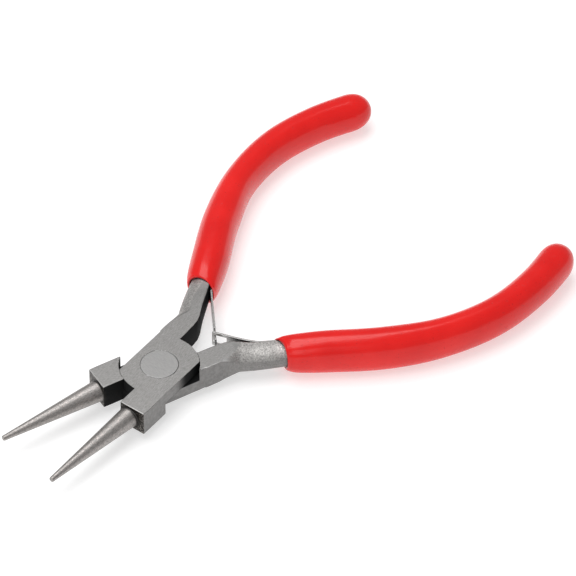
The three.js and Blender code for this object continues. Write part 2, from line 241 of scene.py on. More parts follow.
def table(pairs, x):
    """Smooth value between (position, value) pairs, which never passes them."""
    keys, values = (np.array(part, float) for part in zip(*pairs))
    i = np.clip(np.searchsorted(keys, x, side="right") - 1, 0, len(keys) - 2)
    rise = np.diff(values) / np.diff(keys)
    steady = rise[:-1] * rise[1:] > 0
    harmonic = 2 * rise[:-1] * rise[1:] / np.where(steady, rise[:-1] + rise[1:], 1)
    slopes = np.concatenate([rise[:1], np.where(steady, harmonic, 0), rise[-1:]])
    span = keys[i + 1] - keys[i]
    t = np.clip((x - keys[i]) / span, 0, 1)
    h = [2 * t**3 - 3 * t**2 + 1, t**3 - 2 * t**2 + t, -2 * t**3 + 3 * t**2, t**3 - t**2]
    return (h[0] * values[i] + h[1] * span * slopes[i] + h[2] * values[i + 1]
            + h[3] * span * slopes[i + 1])


def smooth_max(a, b, radius):
    """Larger of two distances, with the crease between them rounded."""
    blend = np.maximum(radius - np.abs(a - b), 0)
    return np.maximum(a, b) + blend * blend / (4 * radius)


def smooth_min(a, b, radius):
    """Smaller of two distances, with the crease between them filled."""
    return -smooth_max(-a, -b, radius)


def ramp(x, low, high):
    """Rises smoothly from 0 at low to 1 at high."""
    t = np.clip((x - low) / (high - low), 0, 1)
    return t * t * (3 - 2 * t)


# ------------------------------------------------------------------ forging, as a distance field

ARM_POINTS, ARM_AT = smooth_line(ARM_LINE, step=0.4)
ARM_DIRECTION = np.gradient(ARM_POINTS, axis=0)
ARM_DIRECTION /= np.linalg.norm(ARM_DIRECTION, axis=1)[:, None]


def beside_arm(x, y):
    """Distance along the arm's line and signed distance outwards from it, for plan points."""
    flat = np.stack([np.ravel(x), np.ravel(y)], axis=1)
    along = np.empty(len(flat))
    across = np.empty(len(flat))
    batch = 20000            # points at a time, to spare memory
    for first in range(0, len(flat), batch):
        part = flat[first:first + batch]
        gap = part[:, None] - ARM_POINTS
        nearest = (gap * gap).sum(2).argmin(1)
        offset = part - ARM_POINTS[nearest]
        direction = ARM_DIRECTION[nearest]
        forward = (offset * direction).sum(1)
        outwards = offset[:, 1] * direction[:, 0] - offset[:, 0] * direction[:, 1]
        along[first:first + batch] = ARM_AT[nearest] + forward
        across[first:first + batch] = outwards
    return along.reshape(np.shape(x)), across.reshape(np.shape(x))


def cheek_arc(start, end):
    steps = 40
    angles = np.linspace(start, end, steps)
    return [(CHEEK_RADIUS * math.cos(a), CHEEK_RADIUS * math.sin(a)) for a in angles]


def plate_outline():
    """Plan of the flat plate: jaw block, round cheek and the web that runs into the arm."""
    rear = cheek_arc(math.pi - math.asin(CHEEK_JAW_SIDE / CHEEK_RADIUS),
                     math.pi + math.asin(ARM_INSIDE / CHEEK_RADIUS))
    front = cheek_arc(-math.asin(CHEEK_HANDLE_SIDE / CHEEK_RADIUS),
                      math.asin(CENTRE_GAP / CHEEK_RADIUS))
    block = [(BLOCK_FRONT, CENTRE_GAP), (BLOCK_FRONT, CHEEK_JAW_SIDE)]
    return np.array(block + rear + WEB_CORNERS + front)


PLATE_OUTLINE = plate_outline()


def outline_distance(x, y, outline):
    """Signed distance from plan points to a closed outline, negative inside it."""
    nearest = np.full(np.shape(x), 1e9)
    inside = np.zeros(np.shape(x), bool)
    for (ax, ay), (bx, by) in zip(outline, np.roll(outline, -1, axis=0)):
        dx, dy = bx - ax, by - ay
        t = np.clip(((x - ax) * dx + (y - ay) * dy) / (dx * dx + dy * dy), 0, 1)
        nearest = np.minimum(nearest, (x - ax - t * dx) ** 2 + (y - ay - t * dy) ** 2)
        crosses = (ay > y) != (by > y)
        with np.errstate(divide="ignore", invalid="ignore"):
            inside ^= crosses & (x < ax + (y - ay) * dx / dy)
    return np.where(inside, -1, 1) * np.sqrt(nearest)


def arm_plan(along, across):
    """The arm's section at a place along it, with how far out from its line the plan points lie."""
    section = {"half_width": ARM_HALF_WIDTH, "outer_extra": ARM_OUTER_EXTRA, "lift": ARM_LIFT,
               "half_height": ARM_HALF_HEIGHT, "round_across": ARM_ROUND_ACROSS,
               "round_height": ARM_ROUND_HEIGHT}
    return {"along": along, "across": across,
            **{name: table(pairs, along) for name, pairs in section.items()}}


def plan_fields(x, y):
    """Everything in the forging's field that doesn't depend on z."""
    return {"r": np.hypot(x, y), "plate": outline_distance(x, y, PLATE_OUTLINE),
            **arm_plan(*beside_arm(x, y))}


def rounded_corner(across, height, half_width, half_height, round_across, round_height):
    """Distance to a section whose corner is a quarter ellipse."""
    qx = np.maximum(across - half_width + round_across, 0) / round_across
    qz = np.maximum(height - half_height + round_height, 0) / round_height
    length = np.hypot(qx, qz)
    slope = np.hypot(qx / round_across, qz / round_height)
    flat = np.maximum(across - half_width, height - half_height)
    return np.where(length > 0.05, (length - 1) * length / np.maximum(slope, 1e-6), flat)


def arm_field(plan, z):
    """Arm and tang: flat inner side with a small edge, rounded outer side with a parting line."""
    across, height = plan["across"], np.abs(z - MID - plan["lift"])
    parting = PARTING_HEIGHT * np.exp(-(height / PARTING_HALF_WIDTH) ** 2)
    bulge = plan["outer_extra"] + parting * ramp(plan["along"], 6, 10)
    outer = rounded_corner(across - bulge, height, plan["half_width"], plan["half_height"],
                           plan["round_across"], plan["round_height"])
    inner = rounded_corner(-across, height, plan["half_width"], plan["half_height"],
                           ARM_INNER_EDGE, ARM_INNER_EDGE)
    section = np.maximum(outer, inner)
    end = plan["along"] - (ARM_AT[-1] - TANG_MARGIN)
    return np.maximum(section, smooth_max(-plan["along"], end, TANG_EDGE))


def jaw_field(x, y, z):
    """Cone jaw, whose inner side lies along the centre line, and the distance forward along it."""
    base_y = CENTRE_GAP + JAW_BASE_RADIUS
    tip_y = CENTRE_GAP + JAW_TIP_RADIUS
    slope = math.atan2(tip_y - base_y, JAW_TIP_X - BLOCK_FRONT)
    forward = (x - BLOCK_FRONT) * math.cos(slope) + (y - base_y) * math.sin(slope)
    sideways = -(x - BLOCK_FRONT) * math.sin(slope) + (y - base_y) * math.cos(slope)
    length = math.hypot(JAW_TIP_X - BLOCK_FRONT, base_y - tip_y)
    radius = np.hypot(sideways, z - MID)
    taper = math.atan2(JAW_BASE_RADIUS - JAW_TIP_RADIUS, length)
    side = (radius - JAW_BASE_RADIUS) * math.cos(taper) + np.maximum(forward, 0) * math.sin(taper)
    cone = smooth_max(np.maximum(side, -forward - JAW_ROOT), forward - length, JAW_TIP_EDGE)
    return cone, forward


def forging_field(x, y, z, plan=None):
    """The whole half: plate and arm, less the lap and the rivet's hole, and its jaw."""
    plan = plan or plan_fields(x, y)
    slab = np.abs(z - MID) - MID
    arm = arm_field(plan, z)
    edge = SEAM_EDGE + (EDGE - SEAM_EDGE) * ramp(np.abs(plan["r"] - CHEEK_RADIUS), 0.1, 0.5)
    edge = edge + (FRONT_EDGE - EDGE) * ramp(x, BLOCK_FRONT - 1.6, BLOCK_FRONT - 0.6)
    solid = smooth_max(smooth_min(plan["plate"], arm, ARM_FILLET), slab, edge)
    recess = np.maximum(plan["r"] - SHOULDER_RADIUS, z - MID - LAP_GAP / 2)
    solid = smooth_max(solid, -recess, LAP_EDGE)
    head_floor = THICKNESS - RIVET_HEAD_DEPTH - HOLE_GAP
    head = np.maximum(plan["r"] - RIVET_RADIUS - RIVET_GAP, head_floor - z)
    hole = np.minimum(plan["r"] - SHANK_RADIUS - HOLE_GAP, head)
    solid = smooth_max(solid, -hole, HOLE_EDGE)
    jaw, _ = jaw_field(x, y, z)
    return smooth_min(solid, jaw, JAW_FILLET)


def surface_net(field, axes):
    """Quad mesh of the zero level of a field sampled on a grid whose spacing may vary."""
    inside = field < 0
    cells = tuple(n - 1 for n in field.shape)
    total = np.zeros((np.prod(cells), 3))
    count = np.zeros(np.prod(cells))
    quads = []
    for axis in range(3):
        low = [slice(None)] * 3
        high = [slice(None)] * 3
        low[axis], high[axis] = slice(0, -1), slice(1, None)
        low, high = tuple(low), tuple(high)
        at = np.argwhere(inside[low] != inside[high])
        a, b = field[low][tuple(at.T)], field[high][tuple(at.T)]
        point = np.stack([axes[k][at[:, k]] for k in range(3)], axis=1)
        step = axes[axis][at[:, axis] + 1] - axes[axis][at[:, axis]]
        point[:, axis] += step * a / (a - b)
        j, k = (axis + 1) % 3, (axis + 2) % 3
        ring = []
        for dj, dk in ((0, 0), (-1, 0), (-1, -1), (0, -1)):
            cell = at.copy()
            cell[:, j] += dj
            cell[:, k] += dk
            number = np.ravel_multi_index(cell.T, cells)
            np.add.at(total, number, point)
            np.add.at(count, number, 1)
            ring.append(number)
        ring = np.stack(ring, axis=1)
        out = a < 0
        ring[~out] = ring[~out][:, ::-1]
        quads.append(ring)
    quads = np.vstack(quads)
    used = np.flatnonzero(count)
    number = np.zeros(len(count), int)
    number[used] = np.arange(len(used))
    return total[used] / count[used, None], number[quads]


def settle(points, field):
    """Moves points onto the field's zero level and returns them with the field's normals."""
    rounds, h, longest, least_slope = 3, 0.02, 0.08, 0.25
    for _ in range(rounds):
        x, y, z = points.T
        value = field(x, y, z)
        rises = [field(x + h, y, z) - field(x - h, y, z),
                 field(x, y + h, z) - field(x, y - h, z),
                 field(x, y, z + h) - field(x, y, z - h)]
        slope = np.stack(rises, axis=1) / (2 * h)
        size = np.maximum((slope * slope).sum(1), least_slope)
        move = np.clip(value / size, -longest, longest)
        points = points - slope * move[:, None]
    return points, slope / np.linalg.norm(slope, axis=1)[:, None]


def forging_mesh():
    """Points, normals and faces of a half in its closed frame."""
    coarse = np.arange(GRID_X["tail"], GRID_X["fine_from"], COARSE_STEP)
    x = np.concatenate([coarse, np.arange(GRID_X["fine_from"], GRID_X["tip"], FINE_STEP)])
    # these start off round numbers, so that no flat face lies on a grid plane
    y = np.arange(*GRID_Y, FINE_STEP) + 0.03
    z = np.arange(*GRID_Z, HEIGHT_STEP) + 0.01
    gx, gy = np.meshgrid(x, y, indexing="ij")
    plan = {key: value[:, :, None] for key, value in plan_fields(gx, gy).items()}
    values = forging_field(x[:, None, None], y[None, :, None], z[None, None, :], plan)
    points, quads = surface_net(np.broadcast_to(values, (len(x), len(y), len(z))), (x, y, z))
    return (*settle(points, forging_field), quads)


# ------------------------------------------------------------------ placing

def turned(points, angle):
    """Points turned about Z."""
    c, s = math.cos(angle), math.sin(angle)
    out = np.array(points, float)
    out[:, 0] = c * points[:, 0] - s * points[:, 1]
    out[:, 1] = s * points[:, 0] + c * points[:, 1]
    return out


def place(points, half, direction=False):
    """Points or directions from a half's closed frame to the row frame."""
    out = np.array(points, float)
    if half == "upper":
        return turned(out, HALF_OPENING)
    out[:, 1] *= -1
    out[:, 2] = -out[:, 2] + (0 if direction else THICKNESS)
    return turned(out, -HALF_OPENING)


def add_mask(mesh, name, values):
    layer = mesh.attributes.new(name, "FLOAT", "POINT")
    layer.data.foreach_set("value", np.asarray(values, np.float32))


def add_texture_places(mesh, points):
    layer = mesh.attributes.new("local", "FLOAT_VECTOR", "POINT")
    layer.data.foreach_set("vector", np.asarray(points, np.float32).ravel())


def new_piece(name, points, faces, material, normals=None):
    mesh = bpy.data.meshes.new(name)
    mesh.from_pydata((np.asarray(points) * MM).tolist(), [], [list(map(int, f)) for f in faces])
    mesh.polygons.foreach_set("use_smooth", np.ones(len(mesh.polygons), bool))
    mesh.materials.append(material)
    mesh.update()
    if normals is not None:
        mesh.normals_split_custom_set_from_vertices(np.asarray(normals).tolist())
    piece = bpy.data.objects.new(name, mesh)
    bpy.context.scene.collection.objects.link(piece)
    return piece


def outward_faces(piece):
    """Makes every face of a closed piece look outwards."""
    mesh = bmesh.new()
    mesh.from_mesh(piece.data)
    bmesh.ops.recalc_face_normals(mesh, faces=mesh.faces)
    mesh.to_mesh(piece.data)
    mesh.free()


# ------------------------------------------------------------------ materials

class Nodes:
    """Short calls for building one material's node tree."""

    def __init__(self, name):
        self.material = bpy.data.materials.new(name)
        self.material.use_nodes = True
        self.tree = self.material.node_tree
        self.shader = self.tree.nodes["Principled BSDF"]

    def put(self, socket, value):
        """Links a socket to the input, or sets a plain value on it."""
        if isinstance(value, bpy.types.NodeSocket):
            self.tree.links.new(value, socket)
        else:
            socket.default_value = value

    def add(self, kind, output=0, inputs=(), **settings):
        node = self.tree.nodes.new(kind)
        for key, value in settings.items():
            setattr(node, key, value)
        for key, value in dict(inputs).items():
            self.put(node.inputs[key], value)
        return node.outputs[output]

    def attribute(self, name, output="Fac"):
        return self.add("ShaderNodeAttribute", output, attribute_name=name)

    def scaled(self, vector, scale):
        inputs = {"Vector": vector, "Scale": scale}
        return self.add("ShaderNodeMapping", 0, inputs, vector_type="POINT")

    def noise(self, vector, scale, detail=3.0, roughness=0.55):
        return self.add("ShaderNodeTexNoise", 0, {"Vector": vector, "Scale": scale,
                                                  "Detail": detail, "Roughness": roughness})

    def mix(self, factor, a, b):
        """Colour mixed from a to b."""
        node = self.tree.nodes.new("ShaderNodeMix")
        node.data_type = "RGBA"
        self.put(node.inputs[0], factor)
        self.put(node.inputs[6], a)
        self.put(node.inputs[7], b)
        return node.outputs[2]

    def blend(self, factor, a, b):
        """Number mixed from a to b."""
        return self.add("ShaderNodeMix", 0, {0: factor, 2: a, 3: b}, data_type="FLOAT")

    def math(self, operation, a, b):
        return self.add("ShaderNodeMath", 0, {0: a, 1: b}, operation=operation)

    def levels(self, value, low, high, to_low=0.0, to_high=1.0):
        """Number stretched from one range to another and held at its ends."""
        return self.add("ShaderNodeMapRange", 0, {"Value": value, "From Min": low, "From Max": high,
                                                  "To Min": to_low, "To Max": to_high})

    def bump(self, height, distance):
        inputs = {"Height": height, "Distance": distance, "Strength": 1.0}
        return self.add("ShaderNodeBump", 0, inputs)

    def finish(self, **inputs):
        """Sets the shader's inputs, whose names have _ for a space, and returns the material."""
        for key, value in inputs.items():
            self.put(self.shader.inputs[key.replace("_", " ")], value)
        return self.material


def grey(value, warm=0.0):
    """Linear colour; warm is the share added to red and taken from blue."""
    return (value * (1 + warm), value, value * (1 - warm), 1)


def steel_material():
    """Forged steel: ground faces, shot-blasted arms and mottled polished jaws, with painted shade
    on walls, recesses and round the cone's root, and edges worn bright with a painted highlight.
    """
    n = Nodes("forged_steel")
    local = n.attribute("local", "Vector")
    grain = n.noise(n.scaled(local, (1.2, 9.0, 1.2)), 1.0, 4.0, 0.7)
    fine = n.noise(local, 7.0, 2.0, 0.6)
    cloudy = n.noise(local, 0.35, 2.0)
    ground = n.mix(n.levels(grain, 0.34, 0.66), grey(0.2, 0.02), grey(0.36, 0.02))
    ground = n.mix(n.levels(cloudy, 0.35, 0.65, 0, 0.35), ground, grey(0.27, 0.03))

    blasted = n.noise(local, 3.2, 3.0, 0.7)
    cast = n.mix(n.levels(blasted, 0.36, 0.66), grey(0.26, 0.03), grey(0.58, 0.03))

    streak = n.noise(n.scaled(local, (1.4, 6.0, 6.0)), 1.0, 4.0, 0.75)
    mottle = n.noise(local, 3.4, 4.0, 0.75)
    jaw = n.mix(n.levels(streak, 0.36, 0.64), grey(0.2, 0.05), grey(0.42, 0.03))
    brownish = (0.5, 0.44, 0.42, 1)
    jaw = n.mix(n.levels(mottle, 0.48, 0.64, 0, 0.75), jaw, brownish)

    # near-black colour of the painted shade on recess and wall faces
    shade_black = n.mix(n.levels(fine, 0.35, 0.7), grey(0.004, -0.05), grey(0.011, -0.03))
    scab = n.mix(n.levels(blasted, 0.48, 0.62), grey(0.02, 0.12), grey(0.26, 0.08))

    painted_shade, speckled = n.attribute("painted_shade"), n.attribute("speckled")
    blasting, jawing, edge = n.attribute("cast"), n.attribute("jaw"), n.attribute("edge")
    colour = n.mix(blasting, ground, cast)
    # painted shade: upright walls darkened
    colour = n.mix(n.math("MULTIPLY", n.attribute("wall"), 0.6), colour, grey(0.15, 0.02))
    colour = n.mix(jawing, colour, jaw)
    colour = n.mix(speckled, colour, scab)
    # edges lightened: real wear, partly a painted highlight
    colour = n.mix(edge, colour, grey(0.72, 0.01))
    # painted shade: recess and wall faces turned near-black
    colour = n.mix(painted_shade, colour, shade_black)
    # painted shade: the corner round the cone's root darkened
    colour = n.mix(n.attribute("crease"), colour, grey(0.02, 0.1))

    rough = n.levels(grain, 0.3, 0.7, 0.46, 0.36)
    rough = n.blend(blasting, rough, n.levels(blasted, 0.35, 0.65, 0.62, 0.48))
    rough = n.blend(jawing, rough, n.levels(mottle, 0.35, 0.65, 0.55, 0.4))
    rough = n.blend(painted_shade, rough, 0.8)
    metal = n.blend(painted_shade, 1.0, 0.6)

    height = n.blend(blasting, n.math("MULTIPLY", grain, 0.25), n.math("MULTIPLY", blasted, 0.7))
    height = n.blend(jawing, height, n.math("MULTIPLY", streak, 0.5))
    normal = n.bump(height, 0.00005)
    return n.finish(Base_Color=colour, Roughness=rough, Metallic=metal, Normal=normal)


def rivet_material():
    """Ground steel whose grain runs across the halves' grain, with a rim painted dark as shade."""
    n = Nodes("rivet_steel")
    place_mm = n.scaled(n.add("ShaderNodeTexCoord", "Object"), (MM_PER_METRE,) * 3)
    grain = n.noise(n.scaled(place_mm, (7.0, 1.4, 1.4)), 1.0, 4.0, 0.7)
    cloudy = n.noise(place_mm, 0.6, 2.0)
    colour = n.mix(n.levels(grain, 0.3, 0.7), grey(0.28, 0.01), grey(0.37, 0.01))
    colour = n.mix(n.levels(cloudy, 0.4, 0.6, 0, 0.4), colour, grey(0.34, 0.02))
    # painted shade on the rim, from the edge attribute
    colour = n.mix(n.attribute("edge"), colour, grey(0.16))
    rough = n.levels(grain, 0.3, 0.7, 0.44, 0.34)
    return n.finish(Base_Color=colour, Roughness=rough, Metallic=1.0, Normal=n.bump(grain, 0.00001))


def spring_material():
    """Bright spring steel."""
    n = Nodes("spring_steel")
    place_mm = n.scaled(n.add("ShaderNodeTexCoord", "Object"), (MM_PER_METRE,) * 3)
    grain = n.noise(n.scaled(place_mm, (1.0, 1.0, 7.0)), 1.0, 2.0, 0.5)
    cloudy = n.noise(place_mm, 0.4, 2.0)
    colour = n.mix(n.levels(grain, 0.3, 0.7), grey(0.44, 0.02), grey(0.54, 0.015))
    colour = n.mix(n.levels(cloudy, 0.45, 0.65, 0, 0.4), colour, grey(0.4, 0.05))
    rough = n.levels(grain, 0.3, 0.7, 0.34, 0.24)
    return n.finish(Base_Color=colour, Roughness=rough, Metallic=1.0, Normal=n.bump(grain, 0.00001))


def sleeve_material():
    """Glossy red dipped vinyl: faint flow waves, tiny pits, a soft colour variation and painted
    shade inside the pocket.
    """
    n = Nodes("red_vinyl")
    red, deep_red = (0.80, 0.012, 0.010, 1), (0.70, 0.007, 0.006, 1)
    pit_red, inside_shade_red = (0.5, 0.006, 0.006, 1), (0.3, 0.003, 0.004, 1)
    local = n.attribute("local", "Vector")
    cloudy = n.noise(local, 0.09, 3.0)
    flow = n.noise(n.scaled(local, (0.06, 0.5, 0.5)), 1.0, 2.0)
    pits = n.noise(local, 2.4, 1.0, 0.4)
    pit = n.levels(pits, 0.68, 0.76)
    colour = n.mix(n.levels(cloudy, 0.35, 0.65), deep_red, red)
    colour = n.mix(n.math("MULTIPLY", pit, 0.5), colour, pit_red)
    # painted shade: the pocket's inner surface darkened
    colour = n.mix(n.attribute("inside"), colour, inside_shade_red)
    rough = n.levels(flow, 0.3, 0.7, 0.19, 0.26)
    height = n.math("SUBTRACT", n.math("MULTIPLY", flow, 2.0), pit)
    return n.finish(Base_Color=colour, Roughness=rough, Normal=n.bump(height, 0.00002),
                    Specular_IOR_Level=0.32, Coat_Weight=0.08, Coat_Roughness=0.1)


STEEL = steel_material()
RIVET_STEEL = rivet_material()
SPRING_STEEL = spring_material()
VINYL = sleeve_material()


# ------------------------------------------------------------------ forged halves

def forging_masks(points, normals):
    """How much each vertex of the forging takes of every finish, painted shade and painted
    highlight that steel_material mixes.
    """
    x, y, z = points.T
    nx, ny, nz = normals.T
    r = np.hypot(x, y)
    along, across = beside_arm(x, y)
    jaw_distance, forward = jaw_field(x, y, z)
    upright = 1 - ramp(np.abs(nz), 0.35, 0.7)

    # polished cone, with painted shade in the corner round its root
    on_jaw = ramp(0.25 - np.abs(jaw_distance), 0, 0.2) * ramp(forward, 0.0, 0.25)
    off_jaw = 1 - on_jaw
    crease = ramp(0.5 - np.abs(forward), 0, 0.35) * ramp(0.75 - np.abs(jaw_distance), 0, 0.5)

    # shot-blasted arm, except where it was ground with the plate, and less so down its walls
    at_face = ramp(np.abs(z - MID), MID - 0.12, MID - 0.02) * ramp(np.abs(nz), 0.9, 0.97)
    cast = (1 - at_face) * ramp(along, 4.5, 6.5) * off_jaw
    # upright faces, which are painted darker as shade and take less of the blasting
    wall = (1 - ramp(np.abs(nz), 0.25, 0.75)) * off_jaw

    # walls painted near-black as shade: the arm's inner side, the block's inner side, the lap, the
    # cheek's jaw side and the cheek's arc
    inner_wall = upright * ramp(-across, 0.8, 1.4) * ramp(along, -1.0, 0.5) * ramp(ny, 0.1, 0.4)
    block_wall = upright * ramp(-ny, 0.5, 0.8) * ramp(x, 2.0, 3.0) * off_jaw
    inside_lap = ramp(SHOULDER_RADIUS + 0.06 - r, 0, 0.04) * ramp(MID + 0.3 - z, 0, 0.2)
    inside_lap *= ramp(z, 0.1, 0.35)
    cheek_side = upright * ramp(y, 5.0, 5.8) * ramp(-x, -2.5, 1.2)
    round_wall = upright * ramp(r, 8.2, 8.38) * (1 - ramp(r, 8.5, 8.6))
    round_wall *= np.where(x > 0, ramp(x, 5.8, 6.4) * ramp(-y, -0.4, -0.2), ramp(y, -1.6, -1.2))
    round_wall *= ramp(THICKNESS - z, 0.05, 0.2)
    painted_shade = np.maximum.reduce([inner_wall, block_wall, inside_lap, cheek_side, round_wall])

    # scabby front of the jaw block
    front = ramp(nx, 0.6, 0.9) * ramp(x, BLOCK_FRONT - 0.4, BLOCK_FRONT - 0.1)
    speckled = upright * front * off_jaw

    # edges worn bright and partly painted as a highlight, less so at the cheek's arc
    edge = ramp(np.abs(nz), 0.3, 0.5) * ramp(1 - np.abs(nz), 0.05, 0.2) * off_jaw * (1 - cast)
    edge *= 0.6 + 0.4 * ramp(np.abs(r - CHEEK_RADIUS), 0.15, 0.3)

    return {"painted_shade": np.clip(painted_shade, 0, 1), "speckled": speckled, "cast": cast * (1 - 0.45 * wall),
            "wall": wall, "jaw": on_jaw, "edge": edge * 0.9, "crease": crease * 0.9}


def flatten_seams(points, normals):
    """Lets the ground faces shade flat right up to the hairline joints round cheek and rivet."""
    seam_width, face_depth = 0.12, 0.03
    r = np.hypot(points[:, 0], points[:, 1])
    height = points[:, 2] - MID
    seam = np.minimum(np.abs(r - CHEEK_RADIUS), np.abs(r - RIVET_RADIUS)) < seam_width
    at_seam = seam & (np.abs(height) > MID - face_depth)
    normals[at_seam] = 0
    normals[at_seam, 2] = np.sign(height[at_seam])


def make_halves():
    """Both halves are the same forging, so its mesh is worked out once."""
    points, normals, faces = forging_mesh()
    masks = forging_masks(points, normals)
    flatten_seams(points, normals)
    for half in ("upper", "lower"):
        piece = new_piece(f"{half}_half_forging", place(points, half), faces, STEEL,
                          place(normals, half, True))
        for name, values in masks.items():
            add_mask(piece.data, name, values)
        add_texture_places(piece.data, points + STEEL_TEXTURE_SHIFT[half])
        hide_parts(f"{half}_half")
        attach(piece, f"{half}_handle")


# ------------------------------------------------------------------ sleeves

def superellipse_ring(half_width, half_height, squareness, angle):
    """Ring of (inwards, up) points."""
    c, s = np.cos(angle), np.sin(angle)
    power = 2 / squareness
    return np.stack([half_width * np.sign(c) * np.abs(c) ** power,
                     half_height * np.sign(s) * np.abs(s) ** power], axis=1)


def tube_faces(rows, sides):
    """Faces of a tube of rings, with the two points that follow them closing its ends."""
    faces = []
    for row in range(rows - 1):
        low, high = row * sides, (row + 1) * sides
        for k in range(sides):
            after = (k + 1) % sides
            faces.append((low + k, low + after, high + after, high + k))
    first, last = rows * sides, rows * sides + 1
    faces += [(first, (k + 1) % sides, k) for k in range(sides)]
    base = (rows - 1) * sides
    faces += [(last, base + k, base + (k + 1) % sides) for k in range(sides)]
    return faces


def sleeve_rings(half):
    """Rings from the closed end, along the outside, over the lip and back into the pocket."""
    line, at = smooth_line(GRIP_LINE, step=0.05)
    length = at[-1]
    direction = np.gradient(line, axis=0)
    direction /= np.linalg.norm(direction, axis=1)[:, None]
    angle = np.arange(GRIP_SIDES) * 2 * np.pi / GRIP_SIDES

    def frame_at(s):
        """Middle, direction and inward direction at a place along the sleeve."""
        centre = np.array([np.interp(s, at, line[:, k]) for k in range(2)])
        ahead = np.array([np.interp(s, at, direction[:, k]) for k in range(2)])
        ahead /= np.linalg.norm(ahead)
        return centre, ahead, np.array([ahead[1], -ahead[0]])

    def outer_size(s):
        """Half width, half height and shift of the skin."""
        share = s / length
        mouth_shift = MOUTH_OFFSET * ramp(MOUTH_LENGTH - s, 0, MOUTH_LENGTH)
        shift = table(GRIP_SHIFT[half], share) - mouth_shift
        half_width = table(GRIP_HALF_WIDTH, share) + table(GRIP_GROWTH[half], share)
        return half_width, table(GRIP_HALF_HEIGHT, share), shift

    def outer_section(s):
        """Ring of the skin, drawn in over the rounded end."""
        half_width, half_height, shift = outer_size(s)
        section = superellipse_ring(half_width, half_height, GRIP_SQUARENESS, angle)
        into_cap = max(0.0, (s - (length - GRIP_CAP)) / GRIP_CAP)
        section *= max(0.0, 1 - min(into_cap, 1) ** CAP_POWER) ** (1 / CAP_POWER)
        section[:, 0] += shift
        return section

    def skin_distance(inwards, up, s):
        """About how far outside the skin a point lies."""
        half_width, half_height, shift = outer_size(s)
        size = (np.abs((inwards - shift) / half_width) ** GRIP_SQUARENESS
                + np.abs(up / half_height) ** GRIP_SQUARENESS) ** (1 / GRIP_SQUARENESS)
        return (size - 1) * min(half_width, half_height)

    def pocket_section(s):
        """A little way off the arm's own section, with room for the leaf, and inside the skin."""
        tail, farthest, halvings = 2, 6.0, 24
        along, arm_inwards = beside_arm(*frame_at(s)[0])
        along = min(float(along), ARM_AT[-1] - tail)
        lift, gap = table(ARM_LIFT, along), table(POCKET_GAP, along)
        leaf_reach = table(ARM_HALF_WIDTH, along) + table(POCKET_LEAF_GAP, along)
        low, high = np.zeros(GRIP_SIDES), np.full(GRIP_SIDES, farthest)
        for _ in range(halvings):
            radius = (low + high) / 2
            inwards, up = radius * np.cos(angle), radius * np.sin(angle)
            arm = arm_field(arm_plan(along, -inwards), MID + lift + up) - gap
            leaf = np.maximum.reduce([inwards - leaf_reach, np.abs(up) - LEAF_ROOM, -inwards])
            skin = skin_distance(inwards + arm_inwards, up + lift, s) + SLEEVE_WALL
            outside = np.maximum(smooth_min(arm, leaf, POCKET_FILLET), skin) > 0
            low, high = np.where(outside, low, radius), np.where(outside, radius, high)
        return np.column_stack([inwards + arm_inwards, up + lift])

    mouth_ahead = frame_at(0)[1]

    def to_space(section, s):
        """Section points in the half's closed frame, slanted near the mouth."""
        centre, _, inwards = frame_at(s)
        flat = centre + section[:, :1] * inwards
        slant = table(MOUTH_SLANT, section[:, 0] / GRIP_HALF_WIDTH[0][1])
        slant *= ramp(SLANT_LENGTH - s, 0, SLANT_LENGTH)
        return np.column_stack([flat - slant[:, None] * mouth_ahead, MID + section[:, 1]])

    rings = []
    for share in np.sin(np.linspace(0, np.pi / 2, GRIP_RINGS["cap"]))[::-1][1:]:
        s = length - GRIP_CAP + GRIP_CAP * share
        rings.append(to_space(outer_section(s), s))
    for s in np.linspace(length - GRIP_CAP, GRIP_LIP, GRIP_RINGS["skin"])[1:]:
        rings.append(to_space(outer_section(s), s))
    for turn in np.linspace(0, np.pi, GRIP_RINGS["lip"])[1:]:
        share = 0.5 - 0.5 * math.cos(turn)
        s = GRIP_LIP * (1 - math.sin(turn))
        section = outer_section(GRIP_LIP) * (1 - share) + pocket_section(GRIP_LIP) * share
        rings.append(to_space(section, s))
    first_inside = len(rings) - GRIP_RINGS["lip"] // 2
    near = np.linspace(GRIP_LIP, MOUTH_LENGTH, GRIP_RINGS["mouth"])[1:]
    deep = np.linspace(MOUTH_LENGTH, POCKET_DEPTH, GRIP_RINGS["pocket"])[1:]
    for s in np.concatenate([near, deep]):
        rings.append(to_space(pocket_section(s), s))
    tip = to_space(np.array([[table(GRIP_SHIFT[half], 1.0), 0.0]]), length)[0]
    base = to_space(pocket_section(POCKET_DEPTH).mean(0)[None], POCKET_DEPTH)[0]
    return rings, tip, base, first_inside


def make_sleeves():
    for half in ("upper", "lower"):
        rings, tip, base, first_inside = sleeve_rings(half)
        points = np.vstack(rings + [tip[None], base[None]])
        # the pocket's inner surface, which sleeve_material paints darker as shade
        inside = np.zeros(len(points))
        inside[first_inside * GRIP_SIDES:-2] = 1
        faces = tube_faces(len(rings), GRIP_SIDES)
        piece = new_piece(f"{half}_sleeve", place(points, half), faces, VINYL)
        add_mask(piece.data, "inside", inside)
        add_texture_places(piece.data, points + VINYL_TEXTURE_SHIFT[half])
        outward_faces(piece)
        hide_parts(f"{half}_grip")
        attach(piece, f"{half}_handle")


# ------------------------------------------------------------------ pivot rivet

